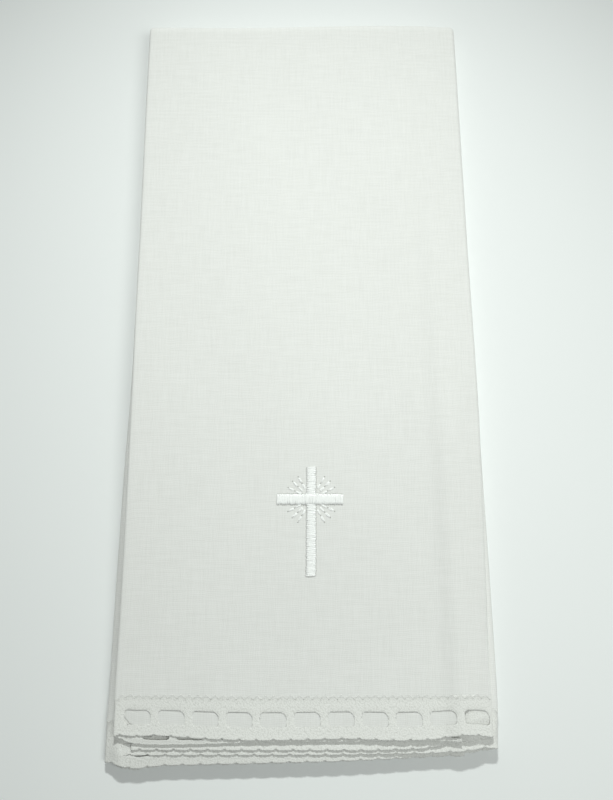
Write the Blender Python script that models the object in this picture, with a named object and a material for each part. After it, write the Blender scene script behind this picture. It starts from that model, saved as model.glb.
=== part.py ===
"""A purificator: a small white altar cloth of linen with lace on its two short ends.

It lies folded. The flap on the left is turned under, the flap on the right is turned under that,
and the strip of three layers is then folded in half, with that fold at the far end. Six layers
result: from the top, the middle panel with its embroidered cross, the left flap and the right
flap, and then the same three in the opposite order down to the surface.

Each piece is made flat and then folded. In the flat cloth, u runs across it from the middle of
the left fold, v runs along it from the middle of the crosswise fold, with the end that comes to lie
on top at positive v, and w is the height above the cloth's middle. Folded, x runs right from the
left fold, reach runs from the far fold to the near end, and z is the height. All sizes are metres.
"""

import math

import bmesh
import bpy
import numpy as np

MM = 0.001

# The sheet and the stack of its layers
SHEET = 1.0 * MM
LAYER_GAP = 0.3 * MM
PITCH = SHEET + LAYER_GAP
STACK = 6 * PITCH - LAYER_GAP
PIECE_GAP = 0.3 * MM

# The folded strip: its width, and where the free edges of the two flaps lie below it
WIDTH = 105.0 * MM
LEFT_FLAP_EDGE_FAR = 91.0 * MM
LEFT_FLAP_EDGE_NEAR = 96.0 * MM
RIGHT_FLAP_EDGE = 4.6 * MM

# Fold radii of the sheet's middle. The left fold holds nothing, the right one the left flap.
LEFT_RADIUS = PITCH / 2
RIGHT_RADIUS = PITCH
CROSS_RADIUS = 2.5 * PITCH
LEFT_ARC = math.pi * LEFT_RADIUS
RIGHT_ARC = math.pi * RIGHT_RADIUS
CROSS_ARC = math.pi * CROSS_RADIUS
LEFT_CENTRE = LEFT_RADIUS + SHEET / 2
RIGHT_CENTRE = WIDTH - RIGHT_RADIUS - SHEET / 2
FAR_CENTRE = CROSS_RADIUS + SHEET / 2

# Flat distances u of the folds and edges across the cloth
U_PANEL_START = LEFT_ARC / 2
U_PANEL_END = U_PANEL_START + RIGHT_CENTRE - LEFT_CENTRE
U_RIGHT_FLAP = U_PANEL_END + RIGHT_ARC
U_RIGHT_EDGE = U_RIGHT_FLAP + RIGHT_CENTRE - RIGHT_FLAP_EDGE
U_LEFT_EDGE = -U_PANEL_START - (LEFT_FLAP_EDGE_NEAR - LEFT_CENTRE)

# Flat distance v of the cloth's two ends, where the lace is sewn on
V_END = 215.0 * MM

# The lace edging, with a row of oblong openings and a scalloped edge
LACE_WIDTH = 9.5 * MM
OPENING_PITCH = 9.4 * MM
OPENING_LENGTH = 7.2 * MM
OPENING_WIDTH = 3.5 * MM
OPENING_CORNER = 1.0 * MM
OPENING_FROM_SEAM = 4.75 * MM
FIRST_OPENING_X = 6.6 * MM
SCALLOP_PITCH = OPENING_PITCH / 2
SCALLOP_DEPTH = 0.45 * MM

# Where the seam and the lace's outer edge lie at each end, in millimetres, from one edge of the
# cloth to the other. The panel is the layer: the left flap, the middle panel or the right flap.
ENDS = {
    "upper": (
        # (panel, x, reach of the seam, reach of the edge)
        ("left", 96.0, 213.8, 223.2),
        ("left", 20.0, 213.8, 223.4),
        ("left", 3.0, 213.0, 222.7),
        ("middle", 2.0, 212.2, 221.6),
        ("middle", 9.0, 212.2, 220.7),
        ("middle", 18.0, 212.2, 221.0),
        ("middle", 34.0, 212.4, 222.0),
        ("middle", 52.0, 212.4, 222.1),
        ("middle", 66.0, 212.3, 221.4),
        ("middle", 80.0, 212.2, 222.1),
        ("middle", 90.0, 212.1, 221.8),
        ("middle", 98.0, 211.8, 220.9),
        ("middle", 102.5, 212.2, 221.6),
        ("right", 102.0, 213.8, 223.4),
        ("right", 70.0, 215.0, 224.5),
        ("right", 10.0, 215.2, 224.8),
    ),
    "lower": (
        ("left", 96.0, 217.4, 227.0),
        ("left", 60.0, 218.4, 228.1),
        ("left", 8.0, 219.6, 229.4),
        ("left", 2.0, 219.2, 228.8),
        ("middle", 2.0, 219.6, 229.2),
        ("middle", 9.0, 220.8, 230.7),
        ("middle", 30.0, 220.8, 230.6),
        ("middle", 50.0, 220.4, 230.3),
        ("middle", 74.0, 219.8, 229.7),
        ("middle", 90.0, 218.4, 228.3),
        ("middle", 102.5, 217.6, 227.4),
        ("right", 102.0, 216.8, 226.6),
        ("right", 60.0, 216.6, 226.3),
        ("right", 10.0, 216.2, 226.0),
    ),
}

# How far the side folds stand out from straight lines, in millimetres, at stations along the strip:
# both sides of the upper half and both sides of the lower half, positive to the right.
SIDES = (
    # (reach, upper left, upper right, lower left, lower right)
    (0.0, 0.0, -1.5, 0.0, -1.5),
    (30.0, 0.2, -1.2, -0.2, -1.0),
    (75.0, 0.4, -0.7, -0.7, -0.3),
    (95.0, 0.4, -0.4, -1.4, 0.2),
    (127.0, 0.3, 0.1, -2.0, 0.9),
    (150.0, 0.2, 0.1, -2.4, 1.4),
    (185.0, 0.0, -0.1, -2.9, 2.0),
    (210.0, -0.3, -0.6, -3.1, 2.2),
    (230.0, -0.2, 0.1, -3.3, 1.3),
)

# How far the crosswise fold dips toward the near end, in millimetres, along its length
FAR_EDGE = ((0.0, 0.2), (25.0, 0.6), (65.0, -0.3), (86.0, -0.9), (105.0, 0.0))
FAR_EDGE_FADE = 70.0 * MM

# The ridge over the left flap's free edge, and the soft swells of the top
RIDGE_RISE_FAR = 0.25 * MM
RIDGE_RISE_NEAR = 0.9 * MM
RIDGE_LEFT = 10.0 * MM
RIDGE_RIGHT = 6.5 * MM
RIDGE_DROP = 0.45
SWELL = 0.16 * MM
SWELL_LENGTHS = (74.0 * MM, 118.0 * MM)

# Grid lines across the panels, close together over the ridge, and pieces of each fold and half
PANEL_LINES = (11.0, 22.0, 33.0, 44.0, 55.0, 66.0, 76.0, 83.0, 87.0, 90.0, 92.5, 95.0, 97.5, 100.0)
LEFT_FOLD_PIECES = 5
RIGHT_FOLD_PIECES = 6
CROSS_FOLD_PIECES = 8
HALF_PIECES = 12
STATIONS_PER_SCALLOP = 3

# The embroidered cross: the place of its crossing, its bars and how high the stitches stand
CROSS_X = 54.5 * MM
CROSS_REACH = 157.4 * MM
CROSS_BAR = 2.6 * MM
CROSS_ARM = 3.0 * MM
CROSS_FAR_LIMB = 9.3 * MM
CROSS_NEAR_LIMB = 21.7 * MM
CROSS_LEFT_LIMB = 9.9 * MM
CROSS_RIGHT_LIMB = 9.3 * MM
STITCH_HEIGHT = 0.6 * MM
ARM_EXTRA = 0.15 * MM
CROSS_EDGE = 0.2 * MM
CROSS_CUTS = 3


def smooth_step(t):
    """Rises smoothly from 0 at t = 0 to 1 at t = 1."""
    t = np.clip(t, 0.0, 1.0)
    return t * t * (3.0 - 2.0 * t)


def table_value(rows, at, column):
    """A column of a table in millimetres, read between its rows at places in metres."""
    table = np.array(rows) * MM
    return np.interp(at, table[:, 0], table[:, column])


def flat_u(panel, x):
    """The flat distance of a place on one of the three panels."""
    if panel == "left":
        return -U_PANEL_START - (x - LEFT_CENTRE)
    if panel == "middle":
        return U_PANEL_START + (x - LEFT_CENTRE)
    return U_RIGHT_FLAP + (RIGHT_CENTRE - x)


def end_lines(end, u):
    """Reach of the seam and of the lace's outer edge at one end, across the flat cloth."""
    rows = [(flat_u(panel, x * MM), seam * MM, edge * MM) for panel, x, seam, edge in ENDS[end]]
    table = np.array(sorted(rows))
    return np.interp(u, table[:, 0], table[:, 1]), np.interp(u, table[:, 0], table[:, 2])


def fold_in_thirds(u, w):
    """Flat distance and height in the sheet to x and depth below the middle of the top panel."""
    left_turn = np.clip(u / LEFT_RADIUS, -math.pi / 2, math.pi / 2)
    right_turn = np.clip((u - U_PANEL_END) / RIGHT_RADIUS, 0.0, math.pi)
    x = LEFT_CENTRE - (LEFT_RADIUS + w) * np.cos(left_turn)
    x = x + np.clip(u, U_PANEL_START, U_PANEL_END) - U_PANEL_START
    x = x + np.maximum(-u - U_PANEL_START, 0.0)
    x = np.where(u > U_PANEL_END, RIGHT_CENTRE + (RIGHT_RADIUS + w) * np.sin(right_turn), x)
    x = x - np.maximum(u - U_RIGHT_FLAP, 0.0)
    depth = LEFT_RADIUS - (LEFT_RADIUS + w) * np.sin(left_turn)
    depth_right = RIGHT_RADIUS - (RIGHT_RADIUS + w) * np.cos(right_turn)
    return x, np.where(u > U_PANEL_END, depth_right, depth)


def fold_in_half(v, depth, seam, edge):
    """Flat distance along the cloth and depth in the upper half to reach and height."""
    radius = CROSS_RADIUS - depth
    turn = np.clip(v / CROSS_RADIUS, -math.pi / 2, math.pi / 2)
    straight = np.clip((np.abs(v) - CROSS_ARC / 2) / (V_END - CROSS_ARC / 2), 0.0, 1.0)
    in_lace = np.maximum(np.abs(v) - V_END, 0.0) / LACE_WIDTH
    reach = FAR_CENTRE - radius * np.cos(turn)
    reach = reach + straight * (seam - FAR_CENTRE) + in_lace * (edge - seam)
    return reach, STACK / 2 + radius * np.sin(turn)


def ridge(x, reach):
    """Height of the ridge over the left flap's free edge, and the drop to the right of it."""
    along = np.clip(reach / V_END, 0.0, 1.0)
    crest = LEFT_FLAP_EDGE_FAR + (LEFT_FLAP_EDGE_NEAR - LEFT_FLAP_EDGE_FAR) * along
    rise = RIDGE_RISE_FAR + (RIDGE_RISE_NEAR - RIDGE_RISE_FAR) * smooth_step(along)
    left = smooth_step((x - crest + RIDGE_LEFT) / RIDGE_LEFT)
    right = smooth_step((x - crest) / RIDGE_RIGHT)
    return rise * (left - (1.0 + RIDGE_DROP) * right)


def swell(x, reach):
    """Low, long waves of the loosely folded layers."""
    first, second = SWELL_LENGTHS
    across = np.sin(2 * math.pi * (x / first + 0.3 * reach / second))
    return SWELL * across * np.cos(2 * math.pi * (reach / second - 0.4 * x / first))


def settle(x, reach, height):
    """Moves the evenly folded cloth to the outline and the uneven top of the real one."""
    upper = height > STACK / 2
    left = np.where(upper, table_value(SIDES, reach, 1), table_value(SIDES, reach, 3))
    right = np.where(upper, table_value(SIDES, reach, 2), table_value(SIDES, reach, 4))
    moved_x = x + left + (right - left) * x / WIDTH
    fade = 1.0 - smooth_step(reach / FAR_EDGE_FADE)
    moved_reach = reach + table_value(FAR_EDGE, x, 1) * fade
    stretch = 1.0 + (ridge(moved_x, moved_reach) + swell(moved_x, moved_reach)) / STACK
    return moved_x, moved_reach, height * stretch


def folded(points):
    """Places of the flat cloth's points (u, v, w) in the folded one."""
    u, v, w = points.T
    lines = zip(end_lines("upper", u), end_lines("lower", u))
    seam, edge = (np.where(v > 0, upper, lower) for upper, lower in lines)
    x, depth = fold_in_thirds(u, w)
    reach, height = fold_in_half(v, depth, seam, edge)
    on_left_flap = np.maximum(-u - U_PANEL_START, 0.0) / (-U_LEFT_EDGE - U_PANEL_START)
    short = (LEFT_FLAP_EDGE_NEAR - LEFT_FLAP_EDGE_FAR) * (1.0 - np.clip(reach / V_END, 0.0, 1.0))
    x, reach, height = settle(x - on_left_flap * short, reach, height)
    return np.column_stack((x, -reach, height))


def points_of(bm):
    return np.array([vertex.co for vertex in bm.verts])


def move_points(bm, points):
    for vertex, point in zip(bm.verts, points):
        vertex.co = point


def fold_piece(bm):
    """Folds a flat piece. Reach runs toward -Y, which mirrors it, so its faces are turned back."""
    bmesh.ops.triangulate(bm, faces=bm.faces[:])
    move_points(bm, folded(points_of(bm)))
    bmesh.ops.reverse_faces(bm, faces=bm.faces[:])


def flat_slab(u_lines, v_lines):
    """A closed flat slab of the sheet's thickness, with grid lines at the given places."""
    bm = bmesh.new()
    bmesh.ops.create_grid(bm, x_segments=len(u_lines) - 1, y_segments=len(v_lines) - 1, size=1.0)
    share = (points_of(bm) + 1.0) / 2.0
    across = np.rint(share[:, 0] * (len(u_lines) - 1)).astype(int)
    along = np.rint(share[:, 1] * (len(v_lines) - 1)).astype(int)
    bottom = np.full(len(share), -SHEET / 2)
    move_points(bm, np.column_stack((u_lines[across], v_lines[along], bottom)))
    extruded = bmesh.ops.extrude_face_region(bm, geom=bm.faces[:], use_keep_orig=True)
    top = [item for item in extruded["geom"] if isinstance(item, bmesh.types.BMVert)]
    bmesh.ops.translate(bm, verts=top, vec=(0.0, 0.0, SHEET))
    bmesh.ops.recalc_face_normals(bm, faces=bm.faces[:])
    return bm


def fold_lines():
    """Grid lines through the two lengthwise folds."""
    left = np.linspace(-LEFT_ARC / 2, LEFT_ARC / 2, LEFT_FOLD_PIECES + 1)
    right = np.linspace(U_PANEL_END, U_RIGHT_FLAP, RIGHT_FOLD_PIECES + 1)
    return left, right


def material(name, colour, roughness):
    made = bpy.data.materials.new(name)
    made.use_nodes = True
    shader = made.node_tree.nodes["Principled BSDF"]
    shader.inputs["Base Color"].default_value = (*colour, 1.0)
    shader.inputs["Roughness"].default_value = roughness
    shader.inputs["Metallic"].default_value = 0.0
    return made


def add_object(name, bm, collection, finish=None):
    mesh = bpy.data.meshes.new(name)
    bm.to_mesh(mesh)
    bm.free()
    made = bpy.data.objects.new(name, mesh)
    collection.objects.link(made)
    if finish is not None:
        mesh.materials.append(finish)
    return made


def add_helper(name, bm, collection):
    """A shape that only cuts or joins another one."""
    made = add_object(name, bm, collection)
    made.hide_render = True
    made.display_type = "WIRE"
    return made


def combined(made, helper, operation):
    """The object's mesh after a Boolean with the helper."""
    step = made.modifiers.new("Combine", "BOOLEAN")
    step.object = helper
    step.operation = operation
    step.solver = "EXACT"
    graph = bpy.context.evaluated_depsgraph_get()
    mesh = bpy.data.meshes.new_from_object(made.evaluated_get(graph))
    made.modifiers.clear()
    before = made.data
    made.data = mesh
    bpy.data.meshes.remove(before)
    mesh.name = made.name
    bm = bmesh.new()
    bm.from_mesh(mesh)
    return bm


def linen_cloth(collection):
    """The whole cloth between its two edgings, folded."""
    lines = np.array(PANEL_LINES) * MM
    left, right = fold_lines()
    under_left = [flat_u("left", x) for x in lines[lines < LEFT_FLAP_EDGE_FAR]]
    middle = [flat_u("middle", x) for x in lines]
    under_right = [flat_u("right", x) for x in lines]
    edges = [U_LEFT_EDGE, U_RIGHT_EDGE]
    u_lines = np.sort(np.concatenate((edges, under_left, left, middle, right, under_right)))
    half = np.linspace(CROSS_ARC / 2, V_END, HALF_PIECES + 1)
    bend = np.linspace(-CROSS_ARC / 2, CROSS_ARC / 2, CROSS_FOLD_PIECES + 1)
    v_lines = np.concatenate((-half[:0:-1], bend, half[1:]))
    bm = flat_slab(u_lines, v_lines)
    fold_piece(bm)
    return add_object("linen_cloth", bm, collection, material("Linen", (0.86, 0.87, 0.84), 0.9))


def opening_cutter(end, side, collection):
    """The oblong openings of one edging, standing across the flat strip."""
    start = flat_u("middle", FIRST_OPENING_X)
    first = math.ceil((U_LEFT_EDGE + OPENING_LENGTH - start) / OPENING_PITCH)
    last = math.floor((U_RIGHT_EDGE - OPENING_LENGTH - start) / OPENING_PITCH)
    bm = bmesh.new()
    for count in range(first, last + 1):
        made = bmesh.ops.create_cube(bm, size=1.0)["verts"]
        bmesh.ops.scale(bm, verts=made, vec=(OPENING_LENGTH, OPENING_WIDTH, 4 * SHEET))
        place = (start + count * OPENING_PITCH, side * (V_END + OPENING_FROM_SEAM), 0.0)
        bmesh.ops.translate(bm, verts=made, vec=place)
    upright = [e for e in bm.edges if abs(e.verts[0].co.z - e.verts[1].co.z) > SHEET]
    bmesh.ops.bevel(bm, geom=upright, offset=OPENING_CORNER, segments=2, profile=0.5)
    return add_helper(f"lace_openings_{end}", bm, collection)


def lace_lines():
    """Grid lines across the edging: a few to each scallop, and closer through the folds."""
    left, right = fold_lines()
    spacing = SCALLOP_PITCH / STATIONS_PER_SCALLOP
    steps = np.arange(math.ceil(U_LEFT_EDGE / spacing), math.floor(U_RIGHT_EDGE / spacing) + 1)
    regular = steps * spacing
    own = np.concatenate((left, right, [U_LEFT_EDGE, U_RIGHT_EDGE]))
    clear = np.abs(regular[:, None] - own[None, :]).min(axis=1) > 0.3 * spacing
    in_fold = (np.abs(regular) < LEFT_ARC / 2) | ((regular > right[0]) & (regular < right[-1]))
    return np.sort(np.concatenate((regular[clear & ~in_fold], own)))


def lace_edging(end, side, collection, helpers, finish):
    """The edging of one end: cut flat, then folded with the cloth. The side is +1 or -1 along v."""
    bm = flat_slab(lace_lines(), np.sort(side * (V_END + np.array((PIECE_GAP, LACE_WIDTH)))))
    points = points_of(bm)
    outer = np.abs(points[:, 1]) > V_END + LACE_WIDTH / 2
    notch = 1.0 - np.abs(np.sin(math.pi * points[:, 0] / SCALLOP_PITCH))
    points[outer, 1] -= side * SCALLOP_DEPTH * notch[outer]
    move_points(bm, points)
    strip = add_object(f"lace_edging_{end}", bm, collection, finish)
    bm = combined(strip, opening_cutter(end, side, helpers), "DIFFERENCE")
    fold_piece(bm)
    bm.to_mesh(strip.data)
    bm.free()
    return strip


def cross_bar(near, far, left, right, height):
    """One bar of satin stitch: a low block with soft edges, cut into short lengths."""
    bm = bmesh.new()
    bmesh.ops.create_cube(bm, size=1.0)
    size = (right - left, near - far, height)
    bmesh.ops.scale(bm, verts=bm.verts[:], vec=size)
    middle = ((left + right) / 2, (near + far) / 2, height / 2)
    bmesh.ops.translate(bm, verts=bm.verts[:], vec=middle)
    upper = [e for e in bm.edges if min(v.co.z for v in e.verts) > height / 2]
    bmesh.ops.bevel(bm, geom=upper, offset=CROSS_EDGE, segments=2, profile=0.5)
    return bm


def embroidered_cross(collection, helpers):
    """The Latin cross: the upright and the arm that passes over it, joined into one solid."""
    half = CROSS_BAR / 2
    upright = cross_bar(CROSS_NEAR_LIMB, -CROSS_FAR_LIMB, -half, half, STITCH_HEIGHT)
    half = CROSS_ARM / 2
    arm_height = STITCH_HEIGHT + ARM_EXTRA
    arm = cross_bar(half, -half, -CROSS_LEFT_LIMB, CROSS_RIGHT_LIMB, arm_height)
    finish = material("Cotton embroidery thread", (0.93, 0.93, 0.92), 0.55)
    cross = add_object("embroidered_cross", upright, collection, finish)
    bm = combined(cross, add_helper("cross_arm", arm, helpers), "UNION")
    for cut in np.linspace(-CROSS_FAR_LIMB, CROSS_NEAR_LIMB, 2 * CROSS_CUTS + 2)[1:-1]:
        whole = bm.verts[:] + bm.edges[:] + bm.faces[:]
        bmesh.ops.bisect_plane(bm, geom=whole, plane_co=(0, cut, 0), plane_no=(0, 1, 0))
    bmesh.ops.triangulate(bm, faces=bm.faces[:])
    points = points_of(bm)
    x = CROSS_X + points[:, 0]
    reach = CROSS_REACH + points[:, 1]
    base = np.full_like(x, STACK)
    moved_x, moved_reach, surface = settle(x, reach, base)
    height = surface + PIECE_GAP + points[:, 2]
    move_points(bm, np.column_stack((moved_x, -moved_reach, height)))
    bmesh.ops.reverse_faces(bm, faces=bm.faces[:])
    bm.to_mesh(cross.data)
    bm.free()
    return cross


def centre_on_origin(objects):
    """Moves the pieces together so that their box stands on the origin, centred."""
    corners = np.array([vertex.co for made in objects for vertex in made.data.vertices])
    low, high = corners.min(axis=0), corners.max(axis=0)
    shift = np.array((-(low[0] + high[0]) / 2, -(low[1] + high[1]) / 2, -low[2]))
    for made in objects:
        for vertex in made.data.vertices:
            vertex.co = np.array(vertex.co) + shift


def main():
    for old in list(bpy.data.objects):
        bpy.data.objects.remove(old)
    purificator = bpy.data.collections.new("Purificator")
    helpers = bpy.data.collections.new("Cutters")
    bpy.context.scene.collection.children.link(purificator)
    bpy.context.scene.collection.children.link(helpers)
    lace = material("Cotton lace", (0.84, 0.86, 0.84), 0.85)
    pieces = [
        linen_cloth(purificator),
        lace_edging("upper", 1, purificator, helpers, lace),
        lace_edging("lower", -1, purificator, helpers, lace),
        embroidered_cross(purificator, helpers),
    ]
    centre_on_origin(pieces)


main()
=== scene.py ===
"""The look of a folded purificator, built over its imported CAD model.

A purificator is a small altar cloth. This one is white linen with a narrow lace edging on its two
short ends and a white embroidered cross. It is folded in thirds lengthwise and then in half.

Each piece is worked out on the flat cloth and then folded. On the flat cloth u runs across from the
middle of the left fold, v runs along from the middle of the crosswise fold, positive toward the end
that lies on top, and w is the height in the sheet. Folded, x runs right from the left fold, reach
runs from the far fold toward the near end, and z is the height. All sizes are metres.
"""

import math

import bpy
import numpy as np
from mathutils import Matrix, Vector


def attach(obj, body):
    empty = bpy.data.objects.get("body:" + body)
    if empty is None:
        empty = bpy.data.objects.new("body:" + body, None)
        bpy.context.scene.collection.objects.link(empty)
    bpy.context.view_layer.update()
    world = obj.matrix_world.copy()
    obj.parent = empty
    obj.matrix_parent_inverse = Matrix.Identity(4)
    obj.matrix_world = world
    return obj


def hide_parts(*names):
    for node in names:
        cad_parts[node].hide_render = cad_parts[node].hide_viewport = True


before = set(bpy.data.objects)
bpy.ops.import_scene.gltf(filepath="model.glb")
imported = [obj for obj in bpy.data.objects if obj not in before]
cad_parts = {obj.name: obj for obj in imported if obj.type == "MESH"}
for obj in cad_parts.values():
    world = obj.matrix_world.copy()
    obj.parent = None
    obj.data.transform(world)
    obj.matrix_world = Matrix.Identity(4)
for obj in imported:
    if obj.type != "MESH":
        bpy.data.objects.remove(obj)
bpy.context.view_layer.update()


# The linen cloth: one rectangle of white plain-woven linen with narrow hems along its long edges.
# The left flap is turned under, the right flap under that, and the strip is folded in half with
# that fold at the far end, so that six layers lie loosely on one another.

MM = 0.001
STRIP_WIDTH = 105.0 * MM
STACK = 7.5 * MM
SHEET = 0.42 * MM
PITCH = (STACK - SHEET) / 5
V_END = 215.0 * MM
LACE_WIDTH = 9.5 * MM

# The left fold and the far fold, from the middle of the whole part
LEFT_FOLD_X = -51.944 * MM
FAR_FOLD_Y = 114.887 * MM

# Where the free edges of the two flaps lie below the top panel
LEFT_FLAP_EDGE_FAR = 91.0 * MM
LEFT_FLAP_EDGE_NEAR = 96.0 * MM
RIGHT_FLAP_EDGE = 4.6 * MM

# Fold radii of the sheet's middle. The left fold holds nothing, the right one the left flap.
LEFT_RADIUS = PITCH / 2
RIGHT_RADIUS = PITCH
CROSS_RADIUS = 2.5 * PITCH
LEFT_ARC = math.pi * LEFT_RADIUS
RIGHT_ARC = math.pi * RIGHT_RADIUS
CROSS_ARC = math.pi * CROSS_RADIUS
LEFT_CENTRE = LEFT_RADIUS + SHEET / 2
RIGHT_CENTRE = STRIP_WIDTH - RIGHT_RADIUS - SHEET / 2
FAR_CENTRE = CROSS_RADIUS + SHEET / 2

U_PANEL_START = LEFT_ARC / 2
U_PANEL_END = U_PANEL_START + RIGHT_CENTRE - LEFT_CENTRE
U_RIGHT_FLAP = U_PANEL_END + RIGHT_ARC
U_RIGHT_EDGE = U_RIGHT_FLAP + RIGHT_CENTRE - RIGHT_FLAP_EDGE
U_LEFT_EDGE = -U_PANEL_START - (LEFT_FLAP_EDGE_NEAR - LEFT_CENTRE)

# Where the seam and the lace's outer edge lie at each end, in millimetres
ENDS = {
    "upper": (
        # (panel, x, reach of the seam, reach of the edge)
        ("left", 96.0, 220.8, 224.1),
        ("left", 42.0, 220.9, 224.5),
        ("left", 20.0, 220.8, 225.1),
        ("left", 10.0, 220.6, 225.2),
        ("left", 5.0, 220.2, 224.8),
        ("left", 2.6, 218.6, 224.2),
        ("left", 1.4, 214.8, 223.5),
        ("middle", 1.5, 212.2, 222.3),
        ("middle", 5.0, 212.5, 223.2),
        ("middle", 10.5, 212.6, 222.7),
        ("middle", 16.0, 212.6, 223.0),
        ("middle", 24.0, 212.7, 223.6),
        ("middle", 38.0, 212.9, 224.1),
        ("middle", 51.0, 212.9, 224.0),
        ("middle", 65.0, 212.8, 223.6),
        ("middle", 78.0, 212.7, 224.1),
        ("middle", 89.0, 212.6, 223.8),
        ("middle", 95.0, 212.4, 222.4),
        ("middle", 99.0, 212.3, 222.3),
        ("middle", 102.5, 212.4, 223.0),
        ("right", 102.0, 214.2, 224.0),
        ("right", 96.0, 215.4, 224.6),
        ("right", 86.0, 215.5, 226.5),
        ("right", 70.0, 215.0, 227.0),
        ("right", 10.0, 215.0, 226.9),
    ),
    "lower": (
        ("left", 96.0, 218.0, 228.6),
        ("left", 60.0, 219.4, 230.1),
        ("left", 15.0, 220.6, 231.1),
        ("left", 8.0, 221.2, 232.1),
        ("left", 2.0, 219.6, 230.4),
        ("middle", 2.0, 219.8, 230.6),
        ("middle", 6.0, 221.6, 232.6),
        ("middle", 10.5, 221.2, 232.2),
        ("middle", 15.0, 220.7, 231.3),
        ("middle", 35.0, 220.5, 231.0),
        ("middle", 64.0, 219.8, 230.2),
        ("middle", 87.0, 219.0, 229.0),
        ("middle", 101.0, 217.8, 227.9),
        ("right", 102.0, 216.4, 226.3),
        ("right", 95.0, 217.2, 227.2),
        ("right", 88.0, 217.7, 227.8),
        ("right", 60.0, 217.9, 228.2),
        ("right", 10.0, 218.0, 228.3),
    ),
}
END_SOFTNESS = 2.5 * MM

# How far the side folds stand out from straight lines, in millimetres, positive to the right
SIDES = (
    # (reach, upper left, upper right, lower left, lower right)
    (0.0, -0.3, -1.5, -0.3, -1.5),
    (30.0, -0.3, -1.2, -0.5, -1.0),
    (75.0, 0.0, -0.7, -0.9, -0.3),
    (95.0, 0.0, -0.4, -1.3, 0.2),
    (127.0, 0.2, 0.1, -1.7, 0.9),
    (150.0, 0.2, 0.1, -2.4, 1.4),
    (185.0, 0.0, -0.1, -2.9, 2.0),
    (210.0, -0.3, -0.6, -3.1, 2.2),
    (230.0, -0.2, 0.1, -3.3, 1.3),
)
SIDE_SOFTNESS = 8.0 * MM

# How far the crosswise fold dips toward the near end, in millimetres, along its length
FAR_EDGE = ((0.0, -2.3), (25.0, -2.0), (65.0, -2.8), (86.0, -3.2), (105.0, -2.4))
FAR_EDGE_FADE = 70.0 * MM
FAR_EDGE_SOFTNESS = 7.0 * MM

# The ridge over the left flap's hem, and the soft swells of the top
RIDGE_RISE_FAR = 0.15 * MM
RIDGE_RISE_NEAR = 1.1 * MM
RIDGE_LEFT = 5.5 * MM
RIDGE_RIGHT = 9.0 * MM
RIDGE_DROP = 0.3
SWELL = 0.16 * MM
SWELL_LENGTHS = (74.0 * MM, 118.0 * MM)
SWELL_SLANTS = (0.3, 0.4)

# Slow waves of each layer: rise, wave lengths across and along, all in millimetres, and the part
# of a wave at which it starts. They die out toward the folds and grow low toward the ends.
LAYER_WAVES = (
    # (panel, half, rise, length across, length along, start)
    ("middle", 1, 0.10, 37.0, 61.0, 0.20),
    ("left", 1, 0.30, 43.0, 71.0, 0.55),
    ("right", 1, 0.30, 52.0, 83.0, 0.10),
    ("right", -1, 0.30, 39.0, 66.0, 0.80),
    ("left", -1, 0.30, 58.0, 77.0, 0.35),
    ("middle", -1, 0.25, 47.0, 90.0, 0.65),
)
WAVE_MARGIN = 12.0 * MM
WAVE_START_ALONG = 0.7
WAVE_END_LENGTH = 30.0 * MM
WAVE_END_DROP = 0.8

# How far each layer lies above its even height toward its end, in millimetres: the flaps gather
# below the top panel, whose lace sinks onto them and lifts again at its outer edge
END_LIFTS = (
    # (distance from the seam, top panel, left flap, right flap, then below: right, left, middle)
    (-60.0, 0.0, 0.0, 0.0, 0.0, 0.0, 0.0),
    (-12.0, 0.0, 0.75, 0.8, 1.4, 1.2, 0.3),
    (-4.5, 0.05, 1.2, 1.2, 1.9, 2.0, 1.2),
    (-2.0, 0.08, 1.1, 1.3, 2.1, 2.4, 1.9),
    (1.5, 0.05, 0.88, 1.4, 2.3, 2.9, 2.5),
    (3.5, 0.01, 0.93, 1.4, 2.3, 3.15, 2.8),
    (6.5, -0.05, 1.0, 1.35, 2.2, 3.25, 3.0),
    (9.5, -0.1, 0.75, 1.3, 2.05, 2.6, 3.05),
)
END_LIFT_LENGTH = 20.0 * MM
END_LIFT_SOFTNESS = 0.6 * MM

# The share of each layer's lift, in the same order, that is gone at the right fold
RIGHT_DROPS = (0.0, 0.0, 0.25, 0.3, 0.4, 0.4)
RIGHT_DROP_START = 60.0 * MM

# In the lower half the left flap rises toward the left fold, and the corner is pressed down again
LOWER_LEFT_RISE = 0.9 * MM
LOWER_LEFT_END = 9.0 * MM
LOWER_CORNER_DROP = 0.65
LOWER_CORNER_WIDTH = 5.0 * MM

# Past the left flap's edge the right flap gathers up under the top lace, and it sinks again toward
# its own outer edge. In the lower half it gathers less.
GATHER_RISE = 1.6 * MM
GATHER_SLOPE = 4.0 * MM
GATHER_START = 3.5 * MM
GATHER_END = 8.5 * MM
GATHER_DROP = 0.75
LOWER_GATHER = 0.55

# The whole stack is pressed flatter toward its near end, by this share of its height
END_SAG = 0.27
END_SAG_START = 125.0 * MM
END_SAG_LENGTH = 95.0 * MM

# The hems along the two long edges, which are hidden below the top panel
HEM_WIDTH = 4.5 * MM
HEM_EXTRA = 0.3 * MM
HEM_SLOPE = 0.6 * MM
EDGE_ROUNDING = 0.7 * MM
FLAP_EDGE_MARGIN = 1.0 * MM

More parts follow.
